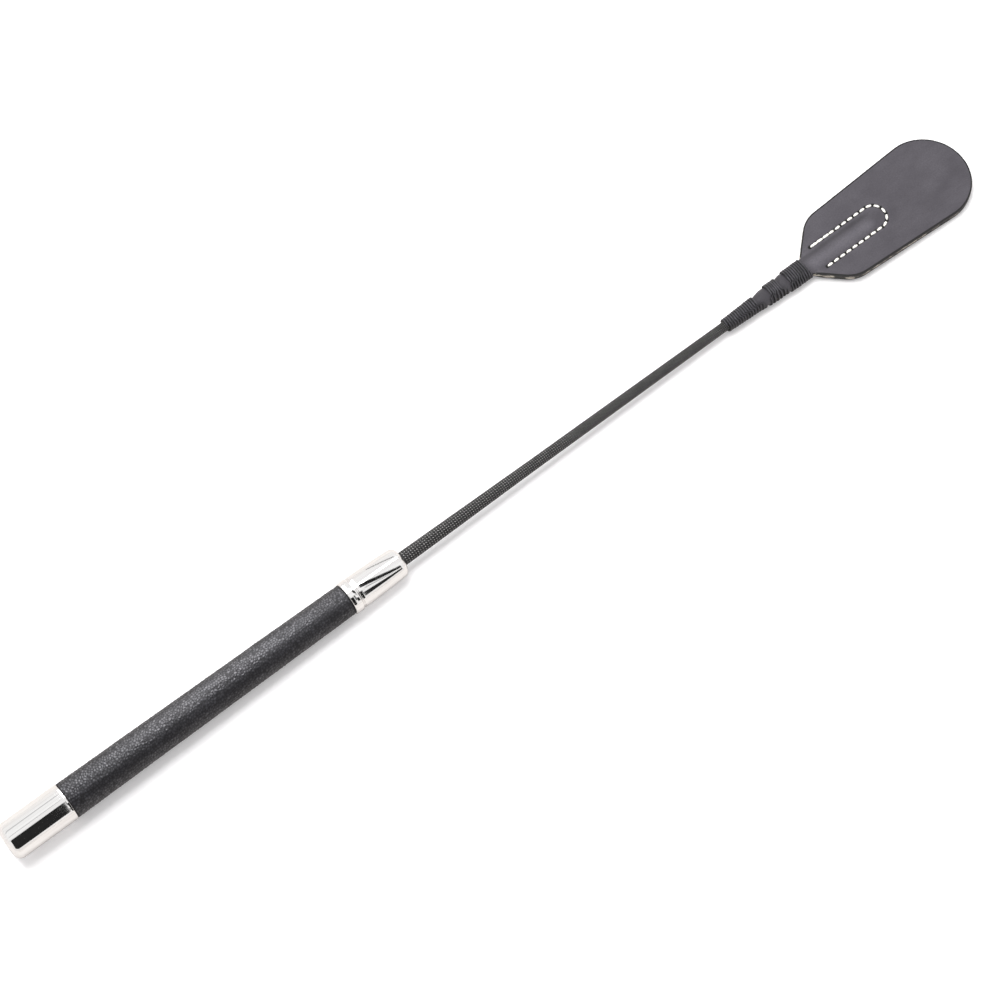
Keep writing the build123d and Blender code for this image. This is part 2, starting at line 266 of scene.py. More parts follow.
def waxedBridleLeather(tree):
    # Smooth bridle leather, dyed and waxed: fine pores; paler over the rod, partly burnish and partly a painted
    # highlight;
    # painted shade, nearly black, in the stitch dimples, beside the hump and on the bound tail.
    place = addNode(tree, "ShaderNodeTexCoord").outputs["Object"]
    pores = addNode(tree, "ShaderNodeTexVoronoi", {"Vector": place, "Scale": 2600.0}).outputs["Distance"]
    lay = addNode(tree, "ShaderNodeMapping", {"Vector": place, "Scale": (55, 90, 90)})
    hide = addNode(tree, "ShaderNodeTexNoise", {
        "Vector": lay, "Scale": 1.0, "Detail": 4.0, "Roughness": 0.6})
    fine = addNode(tree, "ShaderNodeTexNoise", {"Vector": place, "Scale": 1500.0, "Detail": 3.0})
    burnishAndHighlight = addNode(tree, "ShaderNodeAttribute", attribute_name="BurnishAndHighlight").outputs["Fac"]
    paintedShade = addNode(tree, "ShaderNodeAttribute", attribute_name="PaintedShade").outputs["Fac"]
    patch = addNode(tree, "ShaderNodeMapRange", {"Value": hide, "From Min": 0.35, "From Max": 0.65})
    base = addNode(tree, "ShaderNodeMix", {
        0: patch, 6: linear("#3f3c42"), 7: linear("#4b484e")}, data_type="RGBA")
    # burnish and painted highlight: the leather turns paler over the hump's crest and the window bulges
    lift = addNode(tree, "ShaderNodeMapRange", {
        "Value": burnishAndHighlight, "From Min": 0.45, "From Max": 1.0, "To Max": 0.6})
    paintedHighlightMix = addNode(tree, "ShaderNodeMix", {
        0: lift, 6: base.outputs[2], 7: linear("#646168")}, data_type="RGBA")
    specks = addNode(tree, "ShaderNodeMapRange", {
        "Value": fine, "From Min": 0.3, "From Max": 0.75, "To Max": 0.4})
    grained = addNode(tree, "ShaderNodeMix", {
        0: specks, 6: paintedHighlightMix.outputs[2], 7: linear("#2c292e")}, data_type="RGBA")
    # painted shade: the shade attribute darkens the leather to near black
    deep = addNode(tree, "ShaderNodeMapRange", {"Value": paintedShade, "From Min": 0.12, "From Max": 0.5})
    tint = addNode(tree, "ShaderNodeMix", {
        0: deep, 6: grained.outputs[2], 7: linear("#050506")}, data_type="RGBA")
    shine = addNode(tree, "ShaderNodeMapRange", {
        "Value": burnishAndHighlight, "From Min": 0.2, "From Max": 1.0, "To Min": 0.5, "To Max": 0.38})
    grain = addNode(tree, "ShaderNodeBump", {"Height": pores, "Strength": 0.35, "Distance": 0.00003})
    relief = addNode(tree, "ShaderNodeBump", {
        "Height": fine, "Strength": 0.3, "Distance": 0.00003, "Normal": grain})
    return {"Base Color": tint.outputs[2], "Roughness": shine, "IOR": 1.5, "Normal": relief}


def dyedLeatherEdge(tree):
    # Cut leather edge, brushed with black dye that has not taken everywhere: raw tan fibres show
    # along the glue line between the layers, most of them beside the neck.
    place = addNode(tree, "ShaderNodeTexCoord").outputs["Object"]
    parts = addNode(tree, "ShaderNodeSeparateXYZ", {0: place})
    away = addNode(tree, "ShaderNodeMath", {0: parts.outputs["Z"]}, operation="ABSOLUTE")
    lay = addNode(tree, "ShaderNodeMapping", {"Vector": place, "Scale": (420, 420, 1500)})
    ragged = addNode(tree, "ShaderNodeTexNoise", {
        "Vector": lay, "Scale": 1.0, "Detail": 4.0, "Roughness": 0.65})
    clumps = addNode(tree, "ShaderNodeTexNoise", {"Vector": place, "Scale": 170.0, "Detail": 2.0})
    raw = addNode(tree, "ShaderNodeMapRange", {
        "Value": parts.outputs["X"], "From Min": 0.412, "From Max": 0.5, "To Min": 0.0017, "To Max": 0.0009})
    share = addNode(tree, "ShaderNodeMapRange", {
        "Value": clumps, "From Min": 0.4, "From Max": 0.62, "To Min": 0.1, "To Max": 1.0})
    most = addNode(tree, "ShaderNodeMath", {0: raw, 1: share}, operation="MULTIPLY")
    frayed = addNode(tree, "ShaderNodeMapRange", {"Value": ragged, "From Min": 0.35, "From Max": 0.65})
    reach = addNode(tree, "ShaderNodeMath", {0: most, 1: frayed}, operation="MULTIPLY")
    nearLine = addNode(tree, "ShaderNodeMath", {0: reach, 1: away}, operation="SUBTRACT")
    fibre = addNode(tree, "ShaderNodeMix", {
        0: ragged, 6: linear("#6e6355"), 7: linear("#d9d1c3")}, data_type="RGBA")
    shown = addNode(tree, "ShaderNodeMapRange", {
        "Value": nearLine, "From Min": -0.0001, "From Max": 0.0003, "To Max": 0.85})
    tint = addNode(tree, "ShaderNodeMix", {
        0: shown, 6: linear("#111011"), 7: fibre.outputs[2]}, data_type="RGBA")
    relief = addNode(tree, "ShaderNodeBump", {"Height": ragged, "Strength": 0.5, "Distance": 0.0001})
    return {"Base Color": tint.outputs[2], "Roughness": 0.6, "IOR": 1.5, "Normal": relief}


def bondedSewingThread(tree):
    # Bonded polyester sewing thread, white: tight twist, slightly waxy.
    strand = addNode(tree, "ShaderNodeUVMap", uv_map="Strand")
    lay = addNode(tree, "ShaderNodeMapping", {"Vector": strand, "Scale": (1.0, 0.6, 1)})
    twist = addNode(tree, "ShaderNodeTexWave", {
        "Vector": lay, "Scale": 0.8, "Distortion": 0.3}, bands_direction="DIAGONAL")
    share = addNode(tree, "ShaderNodeMapRange", {"Value": twist, "From Max": 0.5})
    tint = addNode(tree, "ShaderNodeMix", {
        0: share, 6: linear("#cfcbc0"), 7: linear("#f7f5f0")}, data_type="RGBA")
    relief = addNode(tree, "ShaderNodeBump", {"Height": twist, "Strength": 0.5, "Distance": 0.00006})
    return {"Base Color": tint.outputs[2], "Roughness": 0.5, "IOR": 1.5, "Normal": relief}


def turnedBeech(tree):
    # Turned beech, unfinished: pale, with short flecks along the grain.
    place = addNode(tree, "ShaderNodeTexCoord").outputs["Object"]
    lay = addNode(tree, "ShaderNodeMapping", {"Vector": place, "Scale": (40, 700, 700)})
    rings = addNode(tree, "ShaderNodeTexNoise", {"Vector": lay, "Scale": 1.0, "Detail": 5.0})
    tint = addNode(tree, "ShaderNodeMix", {
        0: rings, 6: linear("#b98f62"), 7: linear("#d9b88e")}, data_type="RGBA")
    relief = addNode(tree, "ShaderNodeBump", {"Height": rings, "Strength": 0.4, "Distance": 0.00005})
    return {"Base Color": tint.outputs[2], "Roughness": 0.6, "IOR": 1.5, "Normal": relief}


def paperSweep(tree):
    # Matt white background paper, lit a little from beneath so shadows stay pale; what the plated
    # metal mirrors of it glows by a different amount.
    place = addNode(tree, "ShaderNodeTexCoord").outputs["Object"]
    fibre = addNode(tree, "ShaderNodeTexNoise", {"Vector": place, "Scale": 300.0})
    tint = addNode(tree, "ShaderNodeMix", {
        0: fibre, 6: linear("#f4f3f4"), 7: linear("#f8f7f8")}, data_type="RGBA")
    path = addNode(tree, "ShaderNodeLightPath").outputs["Is Glossy Ray"]
    seen = addNode(tree, "ShaderNodeMix", {
        0: path, 6: tint.outputs[2], 7: linear("#bfbbb8")}, data_type="RGBA")
    light = addNode(tree, "ShaderNodeMapRange", {
        "Value": path, "To Min": room["paperGlow"], "To Max": room["paperMirrored"]})
    return {
        "Base Color": seen.outputs[2], "Roughness": 0.9, "Specular IOR Level": 0.0,
        "Emission Color": (1.0, 0.99, 0.99, 1.0), "Emission Strength": light}


chrome = newMaterial(brightNickelPlate)
gripLeather = newMaterial(pebbledCowhide)
nylon = newMaterial(braidedNylonYarn)
glassFibre = newMaterial(groundGlassFibre)
waxedThread = newMaterial(waxedBraidThread)
keeperLeather = newMaterial(waxedBridleLeather)
keeperEdge = newMaterial(dyedLeatherEdge)
whiteThread = newMaterial(bondedSewingThread)
print("materials made")


capShape = {"wall": 0.7, "endRadius": 3.2, "rimRadius": 0.25, "dish": 0.06, "around": 144}


def capOutline(high, shape):
    # from the middle of the butt face out, round the end, along the barrel, over the rim and back inside
    length, radius = high[0], high[2]
    flat = radius - shape["endRadius"]
    inner = radius - shape["wall"]
    face = linePoints((shape["dish"], 0), (0, flat), 9)
    roundEnd = arcPoints(shape["endRadius"], flat, shape["endRadius"], 180, 90, 22)
    barrel = linePoints((shape["endRadius"], radius), (length - shape["rimRadius"], radius), 30)[1:]
    bend = shape["rimRadius"]
    rim = arcPoints(length - bend, radius - bend, bend, 90, 0, 7)[1:]
    inside = linePoints((length, inner), (shape["endRadius"], inner), 6)
    bottom = arcPoints(shape["endRadius"], flat, shape["endRadius"] - shape["wall"], 90, 180, 8)[1:]
    middle = linePoints((shape["wall"], flat), (shape["wall"], 0), 4)[1:]
    return np.concatenate([face, roundEnd[1:], barrel, rim, inside, bottom, middle])


capHigh = span("butt_cap")[1]
capSkin = spin(capOutline(capHigh, capShape), capShape["around"])
buttCap = buildSurface("butt_cap_plated", capSkin, chrome)
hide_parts("butt_cap")
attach(buttCap, bodies["handle"])
print("butt cap made")


gripShape = {"tipRadius": 7.0, "thickness": 1.3, "roll": 0.7, "rollDepth": 0.4, "waviness": 0.05,
             "grain": 1.15, "grainDepth": 0.22, "seamWidth": 0.45, "seamDepth": 0.45,
             "along": 500, "around": 176, "seed": 11}


def pebbles(along, around, girth, shape):
    # cell pattern on the unrolled leather: one jittered point per square, height from how much
    # nearer the nearest point is than the second nearest, so each cell is a dome with a crease round
    # it, some domes being taller than others
    size = girth / round(girth / shape["grain"])
    across = round(girth / size)
    down = int(along.max() / size) + 4
    jitter = np.random.default_rng(shape["seed"]).uniform(0.0, 1.0, (down, across, 3))
    column, row = np.floor(around / size).astype(int), np.floor(along / size).astype(int) + 1
    nearest = np.full(along.shape, 9.0)
    second = np.full(along.shape, 9.0)
    tall = np.zeros(along.shape)
    for stepRow in (-1, 0, 1):
        for stepColumn in (-1, 0, 1):
            r, c = row + stepRow, column + stepColumn
            offset = jitter[np.clip(r, 0, down - 1), c % across]
            gap = np.hypot(along / size + 1 - r - offset[..., 0], around / size - c - offset[..., 1])
            second = np.minimum(second, np.maximum(nearest, gap))
            tall = np.where(gap < nearest, offset[..., 2], tall)
            nearest = np.minimum(nearest, gap)
    return smooth(second - nearest, 0.0, 0.42) * (1 - 0.35 * nearest) * (0.45 + 0.55 * tall)


def gripSurface(low, high, shape):
    # radius = straight taper, less the rolled ends, the seam under the grip and the grain's creases,
    # plus three slow waves; the inner wall is the taper less the leather's thickness
    start, end, buttRadius = low[0], high[0], high[2]
    length = end - start
    x = start + length * np.linspace(0, 1, shape["along"])[:, None]
    angle = np.linspace(0, 2 * np.pi, shape["around"], endpoint=False)[None]
    taper = buttRadius + (shape["tipRadius"] - buttRadius) * (x - start) / length
    girth = np.pi * (buttRadius + shape["tipRadius"])
    grain = pebbles(x - start + 0 * angle, 0 * x + angle / (2 * np.pi) * girth, girth, shape)
    toEnd = np.minimum(x - start, end - x)
    roll = np.clip(1 - toEnd / shape["roll"], 0, 1)
    roll = shape["rollDepth"] * (1 - np.sqrt(1 - 0.98 * roll ** 2))
    waves = np.sin(x / 9.7 + 2 * np.sin(angle)) + np.sin(x / 5.3 + 3 * np.cos(angle)) + np.sin(x / 15.1)
    seamAway = np.abs((angle - 1.5 * np.pi + np.pi) % (2 * np.pi) - np.pi) * taper
    seam = shape["seamDepth"] * np.exp(-(seamAway / shape["seamWidth"]) ** 2)
    quiet = smooth(toEnd, 0.0, 1.2)
    outer = taper - roll - seam + shape["waviness"] * quiet * (waves / 3 - 1)
    outer = outer - shape["grainDepth"] * (1 - grain)
    inner = taper - shape["thickness"]
    xAll = np.concatenate([x, x[::-1][[0]], x[::-1][::100], x[[0]]])
    innerRows = np.concatenate([inner[[-1]], inner[::-1][::100], inner[[0]]]) + 0 * angle
    radius = np.concatenate([outer, innerRows])
    height = np.concatenate([grain * smooth(toEnd, 0.2, 0.9), 0 * innerRows])
    points = np.stack([xAll + 0 * angle, radius * np.cos(angle), radius * np.sin(angle)], axis=-1)
    return points, height


gripLow, gripHigh = span("grip_cover")
gripPoints, gripGrain = gripSurface(gripLow, gripHigh, gripShape)
gripCover = buildSurface("grip_leather", gripPoints, gripLeather, wrapAlong=True, extra={"Grain": gripGrain})
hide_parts("grip_cover")
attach(gripCover, bodies["handle"])
print("grip made")

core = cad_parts["grip_core"]
core.data.materials.clear()
core.data.materials.append(newMaterial(turnedBeech))


ferruleShape = {"collarWidth": 4.0, "collarEdge": 0.6, "grooveWidth": 0.9, "grooveRadius": 6.8, "bead": 0.28,
                "noseRadius": 7.2, "mouthRadius": 6.4, "mouthEdge": 2.8, "lipRadius": 0.12, "bore": 3.15,
                "around": 144}


def ferruleOutline(low, high, shape):
    # collar with rounded edges, a groove with a bead in it, a nose whose arc leaves the groove
    # parallel to the axis, a rounded mouth, and the bore back to the start
    start, end, collar = low[0], high[0], high[2]
    edge, groove, lip = shape["collarEdge"], shape["grooveRadius"], shape["lipRadius"]
    collarEnd = start + shape["collarWidth"]
    noseStart = collarEnd + shape["grooveWidth"]
    drop = shape["noseRadius"] - shape["mouthRadius"]
    arcRadius = ((end - noseStart) ** 2 + drop ** 2) / (2 * drop)
    centre = shape["noseRadius"] - arcRadius
    slope = np.degrees(np.arcsin((end - shape["mouthEdge"] - noseStart) / (arcRadius - shape["mouthEdge"])))
    mouthX = noseStart + (arcRadius - shape["mouthEdge"]) * np.sin(np.radians(slope))
    mouthY = centre + (arcRadius - shape["mouthEdge"]) * np.cos(np.radians(slope))
    return np.concatenate([
        arcPoints(start + edge, collar - edge, edge, 180, 90, 8),
        arcPoints(collarEnd - edge, collar - edge, edge, 90, 0, 8),
        linePoints((collarEnd, collar - edge), (collarEnd, groove), 3)[1:],
        arcPoints((collarEnd + noseStart) / 2, groove, shape["bead"], 180, 0, 9),
        linePoints((noseStart, groove), (noseStart, shape["noseRadius"] - lip), 3),
        arcPoints(noseStart + lip, shape["noseRadius"] - lip, lip, 180, 90, 4)[1:],
        arcPoints(noseStart, centre, arcRadius, 89.8, 90 - slope, 40),
        arcPoints(mouthX, mouthY, shape["mouthEdge"], 90 - slope, 0, 10)[1:],
        linePoints((end, mouthY), (end, shape["bore"] + 0.2), 3)[1:],
        linePoints((end - 0.2, shape["bore"]), (start, shape["bore"]), 5),
        linePoints((start, shape["bore"]), (start, collar - edge), 3)[1:-1],
    ])


ferruleLow, ferruleHigh = span("ferrule")
ferrule = buildSurface("ferrule_plated", spin(ferruleOutline(ferruleLow, ferruleHigh, ferruleShape),
                                              ferruleShape["around"]), chrome, wrapAlong=True)
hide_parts("ferrule")
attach(ferrule, bodies["handle"])
print("ferrule made")


shaftShape = {"hinge": 280.0, "bendReach": 82.0, "buttRadius": 3.1, "middleRadius": 2.5, "tipRadius": 2.2,
              "fastTaper": 68.0, "wall": 0.6, "rodEndRadius": 1.25, "yarns": 16, "braidAngle": 45.0,
              "yarnHeight": 0.18, "wave": 0.17, "perCrossing": 3, "hidden": 6.0, "tucked": 3.0,
              "shadeSide": 0.35, "sleeveOut": 0.38, "sleeveIn": 0.56}
braidLow, braidHigh = span("shaft_braid")
rodLow, rodHigh = span("shaft_rod")
lowerLow, lowerHigh = span("whipping_lower")
shaftStations = [braidLow[0], ferruleHigh[0], ferruleHigh[0] + shaftShape["fastTaper"],
                 lowerLow[0], braidHigh[0]]
shaftRadii = [*[shaftShape["buttRadius"]] * 2, shaftShape["middleRadius"], *[shaftShape["tipRadius"]] * 2]


def shaftRadius(x):
    # outside radius of the braid: straight runs between its stations
    return np.interp(x, shaftStations, shaftRadii)


def rodRadius(x):
    # the braid's radius less its wall, then a straight taper to the rod's end inside the keeper
    stations = shaftStations + [rodHigh[0]]
    return np.interp(x, stations, [r - shaftShape["wall"] for r in shaftRadii] + [shaftShape["rodEndRadius"]])


def bendShaft(piece):
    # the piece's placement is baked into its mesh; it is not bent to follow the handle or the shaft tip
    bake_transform(piece)


rodX = np.linspace(rodLow[0], rodHigh[0], 160)
rodProfile = np.stack([rodX, rodRadius(rodX)], axis=-1)
rodProfile = np.concatenate([[(rodX[0], 0)], rodProfile, [(rodX[-1], 0)]])
rod = buildSurface("shaft_rod_fibre", spin(rodProfile, 32), glassFibre)
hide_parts("shaft_rod")
bendShaft(rod)

yarnStart = ferruleHigh[0] - shaftShape["hidden"]
yarnEnd = lowerLow[0] + shaftShape["tucked"]


def yarnLay(side, shape):
    # yarns wound at a constant angle: turn = side * integral of tan(angle) / r; each goes over and
    # under the other lay as a cosine of the crossing count, and its section is a flat dome
    x = np.linspace(yarnStart, yarnEnd, 4000)
    lean = np.radians(shape["braidAngle"])
    turn = np.concatenate([[0], np.cumsum(np.tan(lean) / shaftRadius(x[1:]) * np.diff(x))])
    crossing = turn * shape["yarns"] / np.pi
    count = int(crossing[-1] * shape["perCrossing"])
    step = np.linspace(0, crossing[-1], count)
    x, turn = np.interp(step, crossing, x), np.interp(step, crossing, turn)
    centre = shaftRadius(x) - shape["yarnHeight"] - shape["wave"]
    centre = centre + side * shape["wave"] * np.cos(np.pi * step)
    angle = side * turn + (2 * np.pi * np.arange(shape["yarns"]) / shape["yarns"])[:, None]
    zero, one = np.zeros_like(angle), np.ones_like(angle)
    outward = np.stack([zero, np.sin(angle), np.cos(angle)], axis=-1)
    circling = np.stack([zero, np.cos(angle), -np.sin(angle)], axis=-1)
    axial = np.stack([one, zero, zero], axis=-1)
    sideways = circling * np.cos(lean) - side * axial * np.sin(lean)
    middle = axial * x[None, :, None] + outward * centre[None, :, None]
    halfWidth = np.pi * shaftRadius(x) / shape["yarns"] * np.cos(lean)
    ends = np.ones(count)
    ends[[0, -1]] = 0.0
    u = np.array([-1.0, -0.55, 0.55, 1.0, 0.0])
    v = np.array([-0.1, 0.95, 0.95, -0.1, -0.9])
    across = u[None, :] * (halfWidth * ends)[:, None]
    up = v[None, :] * (shape["yarnHeight"] * ends)[:, None]
    points = middle[:, :, None] + sideways[:, :, None] * across[None, ..., None]
    points = points + outward[:, :, None] * up[None, ..., None]
    run = np.linspace(0, (yarnEnd - yarnStart) / np.cos(lean), count)
    # painted highlight on a float's crown while it lies on top; the right lay gets only the shadeSide share, as
    # painted shade
    crownHighlightShare = np.clip(side * np.cos(np.pi * step), 0, 1)[None, :, None] * np.array([0, 1, 1, 0, 0])[None, None]
    crownHighlightShare = np.broadcast_to(crownHighlightShare * (1.0 if side > 0 else shape["shadeSide"]), points.shape[:3])
    return points, (run, np.linspace(0, 4, 6)), crownHighlightShare


for layName, side in (("left", 1), ("right", -1)):
    layPoints, layUv, layHighlight = yarnLay(side, shaftShape)
    lay = buildSurface(f"braid_{layName}_lay", layPoints, nylon, uv=layUv, extra={"CrownHighlight": layHighlight})
    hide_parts("shaft_braid")
    bendShaft(lay)

sleeveX = np.linspace(yarnStart, yarnEnd, 150)
sleeveOut = np.stack([sleeveX, shaftRadius(sleeveX) - shaftShape["sleeveOut"]], axis=-1)
sleeveIn = np.stack([sleeveX, shaftRadius(sleeveX) - shaftShape["sleeveIn"]], axis=-1)[::-1]
sleeve = buildSurface("braid_under_sleeve", spin(np.concatenate([sleeveOut, sleeveIn]), 40), nylon, wrapAlong=True,
                      uv=(np.linspace(0, 360, 301), np.linspace(0, 16, 41)))
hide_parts("shaft_braid")
bendShaft(sleeve)
print("shaft made")


keeperShape = {"thickness": 2.0, "bond": 0.01, "edgeRadius": 0.35, "neckHalf": 4.4, "shoulderRun": 14.0,
               "shoulderHalf": 17.5, "shoulderRadius": 14.0, "tailStartCover": 0.2, "lowerCover": 0.85,
               "middleHalf": 3.85, "middleCover": 0.8, "neckCover": 1.1, "humpCover": 1.4, "humpHalf": 5.6,
               "humpEnd": 451.0, "humpFade": 7.0, "openFrom": 408.5, "openTo": 415.5, "windowBulge": 0.35,
               "highlightLean": 1.6, "shade": 0.26, "shadeAt": 3.0, "shadeWidth": 1.7, "bareShade": 0.27,
               "rimInset": 0.12, "rimBand": 0.35, "narrowAt": 14.0, "caveGap": 0.1, "sleeveGap": 0.08,
               "fineUntil": 458.0,
               "grooveDepth": 0.22, "grooveWidth": 0.75, "holeDepth": 0.45, "holeWidth": 0.55,
               "innerStep": 0.25, "innerReach": 8.0, "outerRows": 9}
stitchShape = {"pitch": 3.5, "length": 2.8, "width": 1.05, "height": 0.46, "rowHalf": 5.75, "straight": 30.6,
               "sunk": 0.3, "rise": 0.14, "fromNeck": 7.5, "backTack": (2.2, 5.4, 8.9)}

frontLow, frontHigh = span("keeper_front")
middleLow, middleHigh = span("whipping_middle")
upperLow, upperHigh = span("whipping_upper")
neckX = upperHigh[0]
tipRadius = frontHigh[1]
tipCentre = frontHigh[0] - tipRadius
rowStart = neckX + stitchShape["fromNeck"]
rowTurn = rowStart + stitchShape["straight"]

boundStations = [frontLow[0], lowerHigh[0], middleLow[0], middleHigh[0], upperLow[0], neckX, neckX + 60]
boundHalf = [shaftShape["tipRadius"] + keeperShape["tailStartCover"],
             shaftShape["tipRadius"] + keeperShape["lowerCover"],
             *[keeperShape["middleHalf"]] * 2, *[keeperShape["neckHalf"]] * 3]
boundHeight = [boundHalf[0], boundHalf[1], shaftShape["tipRadius"] + keeperShape["middleCover"],
               shaftShape["tipRadius"] + keeperShape["middleCover"],
               rodRadius(upperLow[0]) + keeperShape["neckCover"],
               *[rodRadius(neckX) + keeperShape["neckCover"]] * 2]


def windowBulge(x):
    # leather swells out between the bands where no thread crosses it: a flattened half sine
    # along each window
    low = np.where(x < (middleLow[0] + middleHigh[0]) / 2, lowerHigh[0], middleHigh[0])
    high = np.where(x < (middleLow[0] + middleHigh[0]) / 2, middleLow[0], upperLow[0])
    share = np.clip((x - low) / (high - low), 0, 1)
    return np.sin(np.pi * share) ** 0.7


def outlineHalf(shape):
    # +Y half of the keeper's outline from tail to tip: bound tail, straight to the shoulder, its arc,
    # the line that touches the tip circle, and a quarter of that circle
    shoulder = np.array([neckX + shape["shoulderRun"], shape["shoulderHalf"]])
    toTip = np.array([tipCentre, 0.0]) - shoulder
    reach = np.hypot(*toTip)
    rise = np.degrees(np.arctan2(toTip[1], toTip[0]) + np.arcsin(tipRadius / reach))
    steep = np.degrees(np.arctan2(shape["shoulderHalf"] - shape["neckHalf"], shape["shoulderRun"]))
    cut = shape["shoulderRadius"] * np.tan(np.radians((steep - rise) / 2))
    up = np.array([np.cos(np.radians(steep)), np.sin(np.radians(steep))])
    out = np.array([np.cos(np.radians(rise)), np.sin(np.radians(rise))])
    bendFrom, bendTo = shoulder - up * cut, shoulder + out * cut
    centre = bendFrom + shape["shoulderRadius"] * np.array([up[1], -up[0]])
    touch = shoulder + out * np.sqrt(reach ** 2 - tipRadius ** 2)
    tailX = np.linspace(frontLow[0], neckX, 110)
    tail = np.stack([tailX, np.interp(tailX, boundStations, boundHalf)], axis=-1)
    fineTo = bendTo + out * (shape["fineUntil"] - bendTo[0]) / out[0]
    return np.concatenate([
        tail,
        linePoints((neckX, shape["neckHalf"]), bendFrom, 34)[1:],
        arcPoints(*centre, shape["shoulderRadius"], 90 + steep, 90 + rise, 28)[1:],
        linePoints(bendTo, fineTo, 84)[1:],
        linePoints(fineTo, touch, 22)[1:],
        arcPoints(tipCentre, 0, tipRadius, 90 + rise, 0, 52)[1:],
    ])


def alongRow(x, y):
    # how far a point is from the middle line of the U of stitches
    straight = np.abs(np.abs(y) - stitchShape["rowHalf"])
    bend = np.abs(np.hypot(np.maximum(x - rowTurn, 0), y) - stitchShape["rowHalf"])
    return np.where(x < rowTurn, straight, bend)


def stitchPlaces():
    # middle and direction of every stitch: equal steps along the U, out on +Y and back on -Y
    straight, radius = stitchShape["straight"], stitchShape["rowHalf"]
    total = 2 * straight + np.pi * radius
    count = int(total / stitchShape["pitch"]) + 1
    run = (total - (count - 1) * stitchShape["pitch"]) / 2 + stitchShape["pitch"] * np.arange(count)
    return placeOnRow(run)


def placeOnRow(run):
    # point and heading a distance along the U
    straight, radius = stitchShape["straight"], stitchShape["rowHalf"]
    bend = np.clip((run - straight) / radius, 0, np.pi)
    x = rowTurn + np.where(run < straight, run - straight, 0) + radius * np.sin(bend)
    x = x - np.maximum(run - straight - np.pi * radius, 0)
    return np.stack([x, radius * np.cos(bend)], axis=-1), np.stack([np.cos(bend), -np.sin(bend)], axis=-1)


def boundTop(y, half, height):
    # oval height over a point of the bound tail
    return height * np.sqrt(np.clip(1 - (y / half) ** 2, 0, 1))


def humpShare(x, y, shape):
    # 1 on the crest of the hump, a cosine bell across it, fading out past the rod's end
    fade = 1 - smooth(x, shape["humpEnd"] - shape["humpFade"], shape["humpEnd"] + 3)
    return fade * (0.5 + 0.5 * np.cos(np.pi * np.clip(y / shape["humpHalf"], -1, 1)))


def dentDepth(x, y, shape):
    # a soft groove along the stitches, and a round dimple at each end of each stitch
    inRow = smooth(x, rowStart - 2.2, rowStart - 0.6) * (x < rowTurn + 8)
    depth = shape["grooveDepth"] * inRow * np.exp(-(alongRow(x, y) / shape["grooveWidth"]) ** 2)
    middle, heading = stitchPlaces()
    halfPitch = stitchShape["pitch"] / 2
    for hx, hy in np.concatenate([middle - heading * halfPitch, middle[-1:] + heading[-1:] * halfPitch]):
        apart = (x - hx) ** 2 + (y - hy) ** 2
        depth = depth + shape["holeDepth"] * np.exp(-apart / shape["holeWidth"] ** 2)
    return depth


def faceHeight(x, y, opened, half, height, shape, dents=True):
    # leather's outer face: the oval of the bound tail eased into a plate with a hump over the rod,
    # less the groove the stitches lie in and a dimple at each stitch end
    hump = np.maximum(rodRadius(x) + shape["humpCover"] - shape["thickness"], 0)
    flat = shape["thickness"] + hump * humpShare(x, y, shape)
    z = (1 - opened) * boundTop(y, half, height) + opened * flat
    return z - dentDepth(x, y, shape) if dents else z


